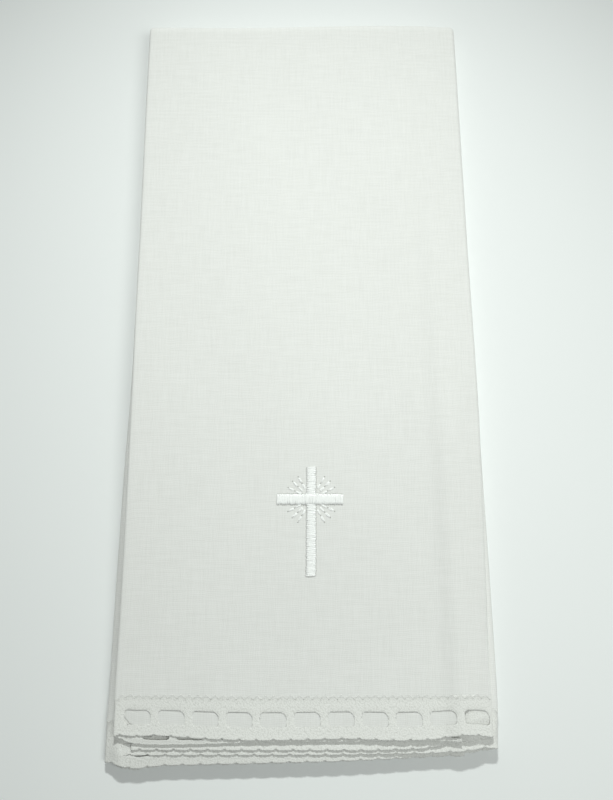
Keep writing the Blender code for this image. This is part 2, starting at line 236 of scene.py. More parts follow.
# The grid: its steps, finer at the hems and the ridge, the places where they change, the gaps
# between each fold's own lines and the next, and the lines close to the edges and the seam
GRID_STEP = 2.1 * MM
RIDGE_STEP = 1.2 * MM
RIDGE_LINES_X = 82.0 * MM
PAST_HEM = 2.0 * MM
FOLD_GAPS = np.array((1.5, 1.2, 0.8, 1.2)) * MM
CROSS_FOLD_GAP = 1.2 * MM
SEAM_GAP = 1.5 * MM
LEFT_FOLD_PIECES = 10
RIGHT_FOLD_PIECES = 12
CROSS_FOLD_PIECES = 16
EDGE_LINES = np.array((0.25, 0.7)) * MM
SEAM_LINES = np.array((0.04, 0.7)) * MM

# Threads of the weave, from middle to middle: a little coarser than altar linen's, which would be
# too fine to show in the render. The drift is how far they stray, and over what length. A slub is a
# stretch of thicker thread.
WARP_SPACING = 0.44 * MM
WEFT_SPACING = 0.5 * MM
WEAVE_DEPTH = 0.7
WEAVE_CRIMP = 0.4
WEAVE_MIDDLE = 0.6
WEAVE_BLEND = 0.15
DRIFT = 0.8 * MM
DRIFT_LENGTH = 3.846 * MM
WARP_SLUB_WIDTH = 0.6 * MM
WEFT_SLUB_WIDTH = 0.7 * MM
SLUB_LENGTH = 9.0 * MM
SLUB_DEPTH = 0.55


def smooth_step(t):
    """Rises from 0 at t = 0 to 1 at t = 1, level at both ends: three t squared less two t cubed."""
    t = np.clip(t, 0.0, 1.0)
    return t * t * (3.0 - 2.0 * t)


def between_rows(places, values, at, softness):
    """Reads values between their places, averaged over the softness each way so no corner shows."""
    shifts = np.linspace(-softness, softness, 9)
    return sum(np.interp(at + shift, places, values) for shift in shifts) / len(shifts)


def side_shift(reach, column):
    """How far a side fold stands out at this reach, read from one column of the table."""
    table = np.array(SIDES) * MM
    return between_rows(table[:, 0], table[:, column], reach, SIDE_SOFTNESS)


def flat_u(panel, x):
    """The flat distance of a place on one of the three panels."""
    if panel == "left":
        return -U_PANEL_START - (x - LEFT_CENTRE)
    if panel == "middle":
        return U_PANEL_START + (x - LEFT_CENTRE)
    return U_RIGHT_FLAP + (RIGHT_CENTRE - x)


def end_lines(end, u):
    """Reach of the seam and of the lace's outer edge at one end, across the flat cloth."""
    rows = [(flat_u(panel, x * MM), seam * MM, edge * MM) for panel, x, seam, edge in ENDS[end]]
    table = np.array(sorted(rows))
    seam = between_rows(table[:, 0], table[:, 1], u, END_SOFTNESS)
    return seam, between_rows(table[:, 0], table[:, 2], u, END_SOFTNESS)


def fold_in_thirds(u, w):
    """Flat distance and height in the sheet to x and depth below the middle of the top panel.

    Each fold is half a turn about its centre, at the fold's radius plus w.
    """
    left_turn = np.clip(u / LEFT_RADIUS, -math.pi / 2, math.pi / 2)
    right_turn = np.clip((u - U_PANEL_END) / RIGHT_RADIUS, 0.0, math.pi)
    x = LEFT_CENTRE - (LEFT_RADIUS + w) * np.cos(left_turn)
    x = x + np.clip(u, U_PANEL_START, U_PANEL_END) - U_PANEL_START
    x = x + np.maximum(-u - U_PANEL_START, 0.0)
    x = np.where(u > U_PANEL_END, RIGHT_CENTRE + (RIGHT_RADIUS + w) * np.sin(right_turn), x)
    x = x - np.maximum(u - U_RIGHT_FLAP, 0.0)
    depth = LEFT_RADIUS - (LEFT_RADIUS + w) * np.sin(left_turn)
    depth_right = RIGHT_RADIUS - (RIGHT_RADIUS + w) * np.cos(right_turn)
    return x, np.where(u > U_PANEL_END, depth_right, depth)


def fold_in_half(v, depth, seam, edge):
    """Flat distance along the cloth and depth in the upper half to reach and height.

    The crosswise fold is half a turn about one centre, and each layer's straight part is fitted
    between that fold and its own end.
    """
    radius = CROSS_RADIUS - depth
    turn = np.clip(v / CROSS_RADIUS, -math.pi / 2, math.pi / 2)
    straight = np.clip((np.abs(v) - CROSS_ARC / 2) / (V_END - CROSS_ARC / 2), 0.0, 1.0)
    in_lace = np.maximum(np.abs(v) - V_END, 0.0) / LACE_WIDTH
    reach = FAR_CENTRE - radius * np.cos(turn)
    reach = reach + straight * (seam - FAR_CENTRE) + in_lace * (edge - seam)
    return reach, STACK / 2 + radius * np.sin(turn)


def ridge(x, reach):
    """Height of the ridge over the left flap's free edge, and the drop to the right of it.

    One smooth step rises to the crest, and a higher, longer one falls away past it.
    """
    along = np.clip(reach / V_END, 0.0, 1.0)
    crest = LEFT_FLAP_EDGE_FAR + (LEFT_FLAP_EDGE_NEAR - LEFT_FLAP_EDGE_FAR) * along
    rise = RIDGE_RISE_FAR + (RIDGE_RISE_NEAR - RIDGE_RISE_FAR) * smooth_step(along)
    left = smooth_step((x - crest + RIDGE_LEFT) / RIDGE_LEFT)
    right = smooth_step((x - crest) / RIDGE_RIGHT)
    return rise * (left - (1.0 + RIDGE_DROP) * right)


def swell(x, reach):
    """Low, long waves of the loosely folded layers: a sine across times a cosine along, aslant."""
    across, along = x / SWELL_LENGTHS[0], reach / SWELL_LENGTHS[1]
    wave = np.sin(2 * math.pi * (across + SWELL_SLANTS[0] * along))
    return SWELL * wave * np.cos(2 * math.pi * (along - SWELL_SLANTS[1] * across))


def settle(x, reach, height, upper):
    """Moves the evenly folded cloth to the outline and the uneven top of the real one.

    x is stretched between the two side folds, the far fold's dip fades out toward the near end, and
    the height is multiplied, by more at the ridge and the swells and by less at the near end.
    """
    left = np.where(upper, side_shift(reach, 1), side_shift(reach, 3))
    right = np.where(upper, side_shift(reach, 2), side_shift(reach, 4))
    moved_x = x + left + (right - left) * x / STRIP_WIDTH
    table = np.array(FAR_EDGE) * MM
    fade = 1.0 - smooth_step(reach / FAR_EDGE_FADE)
    moved_reach = reach + between_rows(table[:, 0], table[:, 1], x, FAR_EDGE_SOFTNESS) * fade
    stretch = 1.0 + (ridge(moved_x, moved_reach) + swell(moved_x, moved_reach)) / STACK
    stretch = stretch - END_SAG * smooth_step((moved_reach - END_SAG_START) / END_SAG_LENGTH)
    return moved_x, moved_reach, height * stretch


def end_lift(number, panel, half, x, past_seam):
    """How far one layer lies above its even height toward its end.

    The table's lift, less toward the right fold, plus the rise of the lower left flap and the
    gather of the right flap. The left flap's hem is thicker, so it lies lower below the top lace.
    """
    table = np.array(END_LIFTS) * MM
    near_end = smooth_step(past_seam / END_LIFT_LENGTH + 1.0)
    toward_right = smooth_step((x - RIGHT_DROP_START) / (STRIP_WIDTH - RIGHT_DROP_START))
    past_flap = smooth_step((x - LEFT_FLAP_EDGE_NEAR + FLAP_EDGE_MARGIN) / GATHER_SLOPE)
    past_gather = smooth_step((past_seam - GATHER_START) / (GATHER_END - GATHER_START))
    gather = past_flap * near_end * GATHER_RISE * (1.0 - GATHER_DROP * past_gather)
    lift = between_rows(table[:, 0], table[:, number], past_seam, END_LIFT_SOFTNESS)
    lift = lift * (1.0 - RIGHT_DROPS[number - 1] * toward_right)
    if half < 0:
        if panel == "left":
            toward_left = smooth_step((LOWER_LEFT_END - x) / LOWER_LEFT_END)
            lift = lift + toward_left * near_end * LOWER_LEFT_RISE
        at_corner = smooth_step((LOWER_CORNER_WIDTH - x) / LOWER_CORNER_WIDTH)
        lift = lift * (1.0 - LOWER_CORNER_DROP * at_corner)
        if panel == "right":
            lift = lift + LOWER_GATHER * gather
    elif panel == "left":
        past_hem = x - LEFT_FLAP_EDGE_NEAR + HEM_WIDTH
        on_hem = smooth_step((past_hem + FLAP_EDGE_MARGIN) / FLAP_EDGE_MARGIN)
        lift = lift - on_hem * near_end * HEM_EXTRA
    elif panel == "right":
        lift = lift + gather
    return lift


def layer_lift(u, v, x, reach):
    """How far a layer stands off its even height: its end's lift and a slow wave each way.

    The lowest layer lies on the table, so its wave only rises. Round a side fold the lift goes over
    from one panel's to the other's, so the fold is pressed flat where its panels come together.
    """
    past_seam = np.abs(v) - V_END
    from_fold = np.minimum(x, STRIP_WIDTH - x)
    margin = smooth_step(from_fold / WAVE_MARGIN) * smooth_step((reach - FAR_CENTRE) / WAVE_MARGIN)
    margin = margin * (1.0 - WAVE_END_DROP * smooth_step(past_seam / WAVE_END_LENGTH + 1.0))
    on_left = (1.0 - np.sin(np.clip(u / LEFT_RADIUS, -math.pi / 2, math.pi / 2))) / 2
    on_right = (1.0 - np.cos(np.clip((u - U_PANEL_END) / RIGHT_RADIUS, 0.0, math.pi))) / 2
    shares = {"left": on_left, "middle": 1.0 - on_left - on_right, "right": on_right}
    lift = np.zeros_like(x)
    for number, (panel, half, rise, across, along, start) in enumerate(LAYER_WAVES, 1):
        here = shares[panel] * (v * half > 0)
        wave = np.sin(2 * math.pi * (x / (across * MM) + start))
        wave = wave * np.cos(2 * math.pi * (reach / (along * MM) + WAVE_START_ALONG * start))
        lowest = panel == "middle" and half < 0
        waving = rise * MM * (wave + 1.0 * lowest) / 2 * margin
        lift = lift + here * (end_lift(number, panel, half, x, past_seam) + waving)
    return lift


def folded(u, v, w):
    """Places in the folded cloth of the flat cloth's points."""
    upper = v > 0
    seam_upper, edge_upper = end_lines("upper", u)
    seam_lower, edge_lower = end_lines("lower", u)
    seam = np.where(upper, seam_upper, seam_lower)
    edge = np.where(upper, edge_upper, edge_lower)
    x, depth = fold_in_thirds(u, w)
    reach, height = fold_in_half(v, depth, seam, edge)
    on_left_flap = np.maximum(-u - U_PANEL_START, 0.0) / (-U_LEFT_EDGE - U_PANEL_START)
    short = (LEFT_FLAP_EDGE_NEAR - LEFT_FLAP_EDGE_FAR) * (1.0 - np.clip(reach / V_END, 0.0, 1.0))
    x = x - on_left_flap * short
    height = height + layer_lift(u, v, x, reach)
    x, reach, height = settle(x, reach, height, upper)
    return np.stack((LEFT_FOLD_X + x, FAR_FOLD_Y - reach, height), axis=-1)


def lines_between(start, end, step):
    """Evenly spaced grid lines, about one step apart."""
    return np.linspace(start, end, max(1, round((end - start) / step)) + 1)


def add_mesh(name, points, quads, flat, smooth=True):
    """A piece of four-sided faces, smooth where told. Its UV map Flat holds two numbers a point."""
    mesh = bpy.data.meshes.new(name)
    mesh.vertices.add(len(points))
    mesh.vertices.foreach_set("co", points.ravel())
    mesh.loops.add(quads.size)
    mesh.loops.foreach_set("vertex_index", quads.ravel())
    mesh.polygons.add(len(quads))
    mesh.polygons.foreach_set("loop_start", np.arange(0, quads.size, 4))
    mesh.polygons.foreach_set("use_smooth", np.broadcast_to(smooth, len(quads)).copy())
    mesh.update(calc_edges=True)
    mesh.uv_layers.new(name="Flat").data.foreach_set("uv", flat[quads.ravel()].ravel())
    made = bpy.data.objects.new(name, mesh)
    bpy.context.scene.collection.objects.link(made)
    return made


def closed_sheet(name, u, v, above, below, kept=None):
    """A folded sheet with two sides and a rim.

    Each grid point is folded twice, at the heights above and below in the sheet. Where kept is
    false the sheet is open, and the rim, which is shaded flat, runs round that opening too.
    """
    rows, columns = u.shape
    count = u.size
    corner = np.arange(count).reshape(rows, columns)
    near_left, near_right = corner[:-1, :-1], corner[:-1, 1:]
    far_left, far_right = corner[1:, :-1], corner[1:, 1:]
    top = np.stack((near_left, far_left, far_right, near_right), axis=-1)
    top = top.reshape(-1, 4) if kept is None else top[kept]
    starts, ends = top.ravel(), np.roll(top, -1, axis=1).ravel()
    rim = ~np.isin(starts * count + ends, ends * count + starts)
    starts, ends = starts[rim], ends[rim]
    sides = np.stack((ends, starts, starts + count, ends + count), axis=-1)
    quads = np.concatenate((top, top[:, ::-1] + count, sides))
    smooth = np.arange(len(quads)) < 2 * len(top)
    used, quads = np.unique(quads, return_inverse=True)
    quads = quads.reshape(-1, 4)
    points = np.concatenate((folded(u, v, above), folded(u, v, below))).reshape(-1, 3)
    flat = np.tile(np.column_stack((u.ravel(), v.ravel())), (2, 1))
    return add_mesh(name, points[used], quads, flat[used], smooth)


def linear(colour):
    """An sRGB hex colour as linear red, green, blue and alpha."""
    parts = [int(colour[start:start + 2], 16) / 255 for start in (1, 3, 5)]
    return (*(c / 12.92 if c <= 0.04045 else ((c + 0.055) / 1.055) ** 2.4 for c in parts), 1.0)


def add_node(tree, kind, inputs=(), **settings):
    """Adds a node. Inputs are pairs of a socket and its value or the output that it is linked to."""
    node = tree.nodes.new(kind)
    for name, value in settings.items():
        setattr(node, name, value)
    for socket, value in inputs:
        if isinstance(value, bpy.types.NodeSocket):
            tree.links.new(value, node.inputs[socket])
        else:
            node.inputs[socket].default_value = value
    return node


def new_material(name, roughness, specular, sheen=0.0):
    """A plain matt or glossy material. Gives the material, its node tree and its shader."""
    material = bpy.data.materials.new(name)
    material.use_nodes = True
    shader = material.node_tree.nodes["Principled BSDF"]
    shader.inputs["Roughness"].default_value = roughness
    shader.inputs["Specular IOR Level"].default_value = specular
    shader.inputs["Sheen Weight"].default_value = sheen
    return material, material.node_tree, shader


def colour_by_height(tree, shader, height, lowest, highest, deep, raised, strength, distance):
    """Colours from deep, painted shade in the low places, to raised at the highest, and bumps by the
    same.
    """
    tone = add_node(tree, "ShaderNodeMapRange", [("Value", height), ("From Min", lowest),
                                                 ("From Max", highest)])
    colour = add_node(tree, "ShaderNodeMix", [("Factor", tone.outputs[0]), (6, linear(deep)),
                                              (7, linear(raised))], data_type="RGBA")
    bump = add_node(tree, "ShaderNodeBump", [("Height", height), ("Strength", strength),
                                             ("Distance", distance)])
    tree.links.new(colour.outputs[2], shader.inputs["Base Color"])
    tree.links.new(bump.outputs[0], shader.inputs["Normal"])


# Bleached linen in plain weave: matt and soft, with single threads a little thicker or thinner
# along their length, which show as faint streaks both ways. Its colour follows the weave's relief:
# darker in the gaps between threads as painted shade, and uneven in tone along the thicker stretches.
linen, tree, shader = new_material("Bleached_linen_plain_weave", roughness=0.9, specular=0.1, sheen=0.15)
shader.inputs["Sheen Roughness"].default_value = 0.5
shader.inputs["Subsurface Weight"].default_value = 0.3
shader.inputs["Subsurface Radius"].default_value = (1.0, 1.0, 1.0)
shader.inputs["Subsurface Scale"].default_value = 0.4 * MM
flat_map = add_node(tree, "ShaderNodeUVMap", uv_map="Flat")
drift = add_node(tree, "ShaderNodeTexNoise", [("Vector", flat_map.outputs["UV"]),
                                              ("Scale", 1.0 / DRIFT_LENGTH), ("Detail", 1.0)],
                 noise_dimensions="2D")
centred = add_node(tree, "ShaderNodeVectorMath", [(0, drift.outputs["Color"]), (1, (0.5, 0.5, 0.5))],
                   operation="SUBTRACT")
shifted = add_node(tree, "ShaderNodeVectorMath", [(0, centred.outputs[0]), (1, (DRIFT, DRIFT, 0.0)),
                                                  (2, flat_map.outputs["UV"])],
                   operation="MULTIPLY_ADD")
axes = add_node(tree, "ShaderNodeSeparateXYZ", [(0, shifted.outputs[0])])
warp = add_node(tree, "ShaderNodeMath", [(0, axes.outputs["X"]), (1, math.pi / WARP_SPACING)],
                operation="MULTIPLY")
weft = add_node(tree, "ShaderNodeMath", [(0, axes.outputs["Y"]), (1, math.pi / WEFT_SPACING)],
                operation="MULTIPLY")
warp_wave = add_node(tree, "ShaderNodeMath", [(0, warp.outputs[0])], operation="SINE")
weft_wave = add_node(tree, "ShaderNodeMath", [(0, weft.outputs[0])], operation="SINE")
over = add_node(tree, "ShaderNodeMath", [(0, warp_wave.outputs[0]), (1, weft_wave.outputs[0])],
                operation="MULTIPLY")
warp_round = add_node(tree, "ShaderNodeMath", [(0, warp_wave.outputs[0])], operation="ABSOLUTE")
weft_round = add_node(tree, "ShaderNodeMath", [(0, weft_wave.outputs[0])], operation="ABSOLUTE")
warp_share = add_node(tree, "ShaderNodeMath", [(0, over.outputs[0]), (1, WEAVE_CRIMP),
                                               (2, WEAVE_MIDDLE)], operation="MULTIPLY_ADD")
weft_share = add_node(tree, "ShaderNodeMath", [(0, over.outputs[0]), (1, -WEAVE_CRIMP),
                                               (2, WEAVE_MIDDLE)], operation="MULTIPLY_ADD")
warp_height = add_node(tree, "ShaderNodeMath", [(0, warp_round.outputs[0]), (1, warp_share.outputs[0])],
                       operation="MULTIPLY")
weft_height = add_node(tree, "ShaderNodeMath", [(0, weft_round.outputs[0]), (1, weft_share.outputs[0])],
                       operation="MULTIPLY")
weave = add_node(tree, "ShaderNodeMath", [(0, warp_height.outputs[0]), (1, weft_height.outputs[0]),
                                          (2, WEAVE_BLEND)], operation="SMOOTH_MAX")
slub_heights = []
for stretch in ((1.0 / WARP_SLUB_WIDTH, 1.0 / SLUB_LENGTH, 1.0),
                (1.0 / SLUB_LENGTH, 1.0 / WEFT_SLUB_WIDTH, 1.0)):
    long_noise = add_node(tree, "ShaderNodeVectorMath", [(0, flat_map.outputs["UV"]), (1, stretch)],
                          operation="MULTIPLY")
    slub_heights.append(add_node(tree, "ShaderNodeTexNoise", [
        ("Vector", long_noise.outputs[0]), ("Scale", 1.0), ("Detail", 3.0), ("Roughness", 0.6),
    ], noise_dimensions="2D"))
slubs = add_node(tree, "ShaderNodeMath", [(0, slub_heights[0].outputs[0]),
                                          (1, slub_heights[1].outputs[0])], operation="ADD")
threads = add_node(tree, "ShaderNodeMath", [(0, weave.outputs[0]), (1, WEAVE_DEPTH)],
                   operation="MULTIPLY")
relief = add_node(tree, "ShaderNodeMath", [(0, slubs.outputs[0]), (1, SLUB_DEPTH),
                                           (2, threads.outputs[0])], operation="MULTIPLY_ADD")
colour_by_height(tree, shader, relief.outputs[0], lowest=0.45, highest=1.3, deep="#e2e2df",
                 raised="#f0f0ee", strength=0.35, distance=0.05 * MM)

fine_start = flat_u("middle", RIDGE_LINES_X)
u_lines = np.unique(np.concatenate((
    [U_LEFT_EDGE, U_RIGHT_EDGE],
    U_LEFT_EDGE + EDGE_LINES,
    U_RIGHT_EDGE - EDGE_LINES,
    lines_between(U_LEFT_EDGE + RIDGE_STEP, U_LEFT_EDGE + HEM_WIDTH + PAST_HEM, RIDGE_STEP),
    lines_between(U_LEFT_EDGE + HEM_WIDTH + 2 * PAST_HEM, -U_PANEL_START - FOLD_GAPS[0], GRID_STEP),
    lines_between(-U_PANEL_START, U_PANEL_START, LEFT_ARC / LEFT_FOLD_PIECES),
    lines_between(U_PANEL_START + FOLD_GAPS[1], fine_start, GRID_STEP),
    lines_between(fine_start + RIDGE_STEP, U_PANEL_END - FOLD_GAPS[2], RIDGE_STEP),
    lines_between(U_PANEL_END, U_RIGHT_FLAP, RIGHT_ARC / RIGHT_FOLD_PIECES),
    lines_between(U_RIGHT_FLAP + FOLD_GAPS[3], U_RIGHT_EDGE - HEM_WIDTH - PAST_HEM, GRID_STEP),
    lines_between(U_RIGHT_EDGE - HEM_WIDTH, U_RIGHT_EDGE - RIDGE_STEP, RIDGE_STEP),
)))
half = lines_between(CROSS_ARC / 2 + CROSS_FOLD_GAP, V_END - SEAM_GAP, GRID_STEP)
ends = np.concatenate((V_END - SEAM_LINES[::-1], [V_END]))
bend = lines_between(-CROSS_ARC / 2, CROSS_ARC / 2, CROSS_ARC / CROSS_FOLD_PIECES)
v_lines = np.concatenate((-ends[::-1], -half[::-1], bend, half, ends))
u, v = np.meshgrid(u_lines, v_lines)
from_edge = np.minimum(u - U_LEFT_EDGE, U_RIGHT_EDGE - u)
hem = 1.0 - smooth_step((from_edge - HEM_WIDTH + HEM_SLOPE) / HEM_SLOPE)
rounding = smooth_step(from_edge / EDGE_ROUNDING) * 0.5 + 0.5
half_sheet = (SHEET + HEM_EXTRA * hem) * rounding / 2
cloth = closed_sheet("linen_cloth_folded", u, v, half_sheet, -half_sheet)
cloth.data.materials.append(linen)
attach(cloth, "root")
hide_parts("linen_cloth")


# The lace edging: a cotton insertion lace with a row of oblong openings for a ribbon, between a
# looped header and a band of small eyelets with a scalloped picot edge. One strip is sewn to each
# short end of the cloth, lapped a little over it, and folds with it.

# The spacing of the loops and small eyelets, with which openings, scallops and picots keep step
REPEAT = 2.35 * MM

# The lace's grid. Grid points within the snap share of a step from an edge are moved onto it.
LACE_STEP = REPEAT / 8
LACE_GRID_MARGIN = 0.15 * MM
SNAP_SHARE = 0.75
LEAST_SLOPE = 0.5

# The lace's thickness, with the shares of it that the open ground has and that a cord adds, and the
# height of its middle. Where it laps over the linen it lies higher and thins toward its edge.
LACE_SHEET = 0.12 * MM
GROUND_SHARE = 0.55
CORD_SHARE = 0.75
LACE_HEIGHT = 0.05 * MM
LACE_LAP = 0.5 * MM
LAP_END = 1.2 * MM
LAP_TAPER = 0.8 * MM
LAP_EDGE_SHARE = 0.3
SEAM_SINK = 0.01 * MM

# The oblong openings. The far edge of each is thinner and lies lower, pressed onto the layer below.
SLOT_SINK = 0.09 * MM
SLOT_SINK_WIDTH = 1.1 * MM
SLOT_THINNING = 0.5
SLOT_PITCH = 4 * REPEAT
SLOT_LENGTH = 7.2 * MM
SLOT_WIDTH = 3.2 * MM
SLOT_FROM_SEAM = 4.95 * MM
FIRST_SLOT_X = 6.6 * MM
SLOT_WIDE_CORNER = 1.7 * MM
SLOT_CORNER = 0.8 * MM
LEFT_FOLD_SLOT = -1
RIGHT_FOLD_SLOT = 11

# The loops of the header, the small round eyelets, and the outer edge
LOOP_FROM_SEAM = 1.55 * MM
LOOP_RADIUS = 0.2 * MM
EYELET_FROM_SEAM = 7.9 * MM
EYELET_RADIUS = 0.21 * MM
SCALLOP_PITCH = 2 * REPEAT
SCALLOP_DEPTH = 0.3 * MM
PICOT_PITCH = REPEAT / 2
PICOT_DEPTH = 0.16 * MM

# The cords: their half widths, how far they run from the edge that they follow, and their heights
CORD_WIDTH = 0.38 * MM
RING_CORD_WIDTH = 0.3 * MM
SLOT_CORD_PLACE = 0.4 * MM
EDGE_CORD_PLACE = 0.42 * MM
HEADER_CORD_PLACE = 0.25 * MM
SLOT_CORD_HEIGHT = 0.15
LOOP_CORD_HEIGHT = 0.7
EYELET_CORD_HEIGHT = 0.5
HEADER_CORD_HEIGHT = 0.15
BEAD_HEIGHTS = (0.55, 1.0)


def cord(distance, place, width=CORD_WIDTH):
    """A ridge of half-round section, 1 high, along the line that lies at the place's distance."""
    return np.sqrt(np.clip(1.0 - ((distance - place) / width) ** 2, 0.0, 1.0))


def slot_distance(along, out):
    """Distance outside the nearest oblong opening, negative within it.

    It is the distance to a box with rounded corners. The corner at its far right is rounder,
    because the threads of the bar pull it in. The two openings in the side folds are pressed shut.
    """
    number = np.round(along / SLOT_PITCH)
    p = along - number * SLOT_PITCH
    q = out - SLOT_FROM_SEAM
    corner = np.where((p > 0) & (q < 0), SLOT_WIDE_CORNER, SLOT_CORNER)
    a = np.abs(p) - SLOT_LENGTH / 2 + corner
    b = np.abs(q) - SLOT_WIDTH / 2 + corner
    outside = np.hypot(np.maximum(a, 0.0), np.maximum(b, 0.0))
    in_fold = (number == LEFT_FOLD_SLOT) | (number == RIGHT_FOLD_SLOT)
    return np.where(in_fold, SLOT_WIDTH, outside + np.minimum(np.maximum(a, b), 0.0) - corner)


def ring_distance(along, out, place):
    """Distance from the middle of the nearest of a row of rings."""
    p = (along + REPEAT / 2) % REPEAT - REPEAT / 2
    return np.hypot(p, out - place)


def lace_outline(along, out):
    """Distance inside the lace's outer edge: scallops as half sine waves, with four picots on each."""
    scallop = SCALLOP_DEPTH * (1.0 - np.abs(np.sin(math.pi * along / SCALLOP_PITCH)))
    picot = PICOT_DEPTH * np.abs(np.sin(math.pi * along / PICOT_PITCH))
    return LACE_WIDTH - scallop - PICOT_DEPTH + picot - out


def lace_openness(along, out):
    """Distance to the nearest opening or edge, positive where there is lace."""
    return np.minimum.reduce((
        slot_distance(along, out),
        ring_distance(along, out, LOOP_FROM_SEAM) - LOOP_RADIUS,
        ring_distance(along, out, EYELET_FROM_SEAM) - EYELET_RADIUS,
        lace_outline(along, out),
    ))


def lace_relief(along, out):
    """Extra thickness of the lace, 0 to 1: cords round its openings and along its edges."""
    from_loop = ring_distance(along, out, LOOP_FROM_SEAM) - LOOP_RADIUS
    from_eyelet = ring_distance(along, out, EYELET_FROM_SEAM) - EYELET_RADIUS
    low, high = BEAD_HEIGHTS
    beads = low + (high - low) * np.abs(np.sin(math.pi * along / PICOT_PITCH))
    return np.maximum.reduce((
        SLOT_CORD_HEIGHT * cord(slot_distance(along, out), SLOT_CORD_PLACE),
        LOOP_CORD_HEIGHT * cord(from_loop, RING_CORD_WIDTH, RING_CORD_WIDTH),
        EYELET_CORD_HEIGHT * cord(from_eyelet, RING_CORD_WIDTH, RING_CORD_WIDTH),
        HEADER_CORD_HEIGHT * cord(out, HEADER_CORD_PLACE),
        beads * cord(lace_outline(along, out), EDGE_CORD_PLACE),
    ))


# White cotton lace thread: as matt as the linen, but knotted and slightly fuzzy, so that the lace
# looks mottled and porous close to. The gaps between the knots are painted darker as shade, and the
# fuzz varies the tone at random.
KNOT_SPACING = 0.42 * MM
FUZZ_SPACING = 0.25 * MM
lace_cotton, tree, shader = new_material("White_cotton_lace", roughness=0.9, specular=0.1, sheen=0.15)
flat_map = add_node(tree, "ShaderNodeUVMap", uv_map="Flat")
knots = add_node(tree, "ShaderNodeTexVoronoi", [("Vector", flat_map.outputs["UV"]),
                                                ("Scale", 1.0 / KNOT_SPACING)],
                 voronoi_dimensions="2D", feature="SMOOTH_F1")
fuzz = add_node(tree, "ShaderNodeTexNoise", [("Vector", flat_map.outputs["UV"]),
                                             ("Scale", 1.0 / FUZZ_SPACING), ("Detail", 3.0)],
                noise_dimensions="2D")
knobby = add_node(tree, "ShaderNodeMath", [(0, knots.outputs["Distance"]), (1, -1.0),
                                           (2, fuzz.outputs[0])], operation="MULTIPLY_ADD")
colour_by_height(tree, shader, knobby.outputs[0], lowest=-0.4, highest=0.5, deep="#dfdfdb",
                 raised="#f3f3f0", strength=0.45, distance=0.12 * MM)

first_slot = flat_u("middle", FIRST_SLOT_X)
first_line = math.ceil((U_LEFT_EDGE - first_slot) / LACE_STEP)
last_line = math.floor((U_RIGHT_EDGE - first_slot) / LACE_STEP)
lace_u = first_slot + LACE_STEP * np.arange(first_line, last_line + 1)
lace_out = lines_between(-LACE_LAP, LACE_WIDTH + LACE_GRID_MARGIN, LACE_STEP)
along, out = np.meshgrid(lace_u - first_slot, lace_out)
openness = lace_openness(along, out)
kept = (openness[:-1, :-1] + openness[1:, :-1] + openness[:-1, 1:] + openness[1:, 1:]) / 4 > 0

slope_out, slope_along = np.gradient(openness, lace_out, lace_u)
slope = np.maximum(np.hypot(slope_along, slope_out), LEAST_SLOPE)
near_edge = (out > lace_out[1]) & (np.abs(openness) < SNAP_SHARE * LACE_STEP)
along = along - np.where(near_edge, openness * slope_along / slope ** 2, 0.0)
out = out - np.where(near_edge, openness * slope_out / slope ** 2, 0.0)

lap = smooth_step((LAP_END - out) / (LAP_END + LACE_LAP))
by_slot = smooth_step(1.0 - slot_distance(along, out) / SLOT_SINK_WIDTH)
by_slot = by_slot * smooth_step((SLOT_FROM_SEAM - out) / SLOT_WIDTH + 0.5)
lace_middle = LACE_HEIGHT + lap * (SHEET / 2 - SEAM_SINK - LACE_HEIGHT) - SLOT_SINK * by_slot
thickness = LACE_SHEET * (GROUND_SHARE + CORD_SHARE * lace_relief(along, out))
taper = LAP_EDGE_SHARE + (1.0 - LAP_EDGE_SHARE) * smooth_step((out + LACE_LAP) / LAP_TAPER)
thickness = thickness * taper * (1.0 - SLOT_THINNING * by_slot)

for end, half_sign in (("upper", 1), ("lower", -1)):
    # The lower end's rows run the other way, so that its faces point outward as well
    u, v, above, below, lace = (part[::half_sign] for part in (
        first_slot + along, half_sign * (V_END + out), lace_middle + thickness / 2,
        lace_middle - thickness / 2, kept))
    strip = closed_sheet(f"lace_edging_{end}_folded", u, v, above, below, lace)
    strip.data.materials.append(lace_cotton)
    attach(strip, "root")
    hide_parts(f"lace_edging_{end}")


# The embroidered cross: a Latin cross in satin stitch of white cotton thread, laid close over the
# width of each bar. The arm is worked last, over the upright.

# Where the bars cross, the widths of the upright and of the arm, and how far the four limbs reach
CROSS_X = 54.4 * MM
CROSS_REACH = 158.4 * MM
CROSS_BAR = 2.85 * MM
CROSS_ARM = 3.25 * MM
CROSS_FAR_LIMB = 9.3 * MM
CROSS_NEAR_LIMB = 21.7 * MM
CROSS_LEFT_LIMB = 9.9 * MM
CROSS_RIGHT_LIMB = 9.3 * MM

# The stitches. Where the arm goes over the upright they rise higher.
STITCH_SPACING = 0.28 * MM
STITCH_RADIUS = 0.22 * MM
STITCH_FLATNESS = 0.32
STITCH_HEIGHT = 0.26 * MM
STITCH_STATIONS = 11
CROSSING_HEIGHT = 0.22 * MM
CROSSING_WIDTH = 1.7 * MM

# How deep a stitch's ends lie below the linen's face, and how square its arch is
BURIED = 0.12 * MM
ARCH_POWER = 5

# How uneven the stitches are: in reach and in height as shares of these, and in place
REACH_UNEVENNESS = 0.05
HEIGHT_UNEVENNESS = 0.06
PLACE_UNEVENNESS = 0.04 * MM
rng = np.random.default_rng(5)


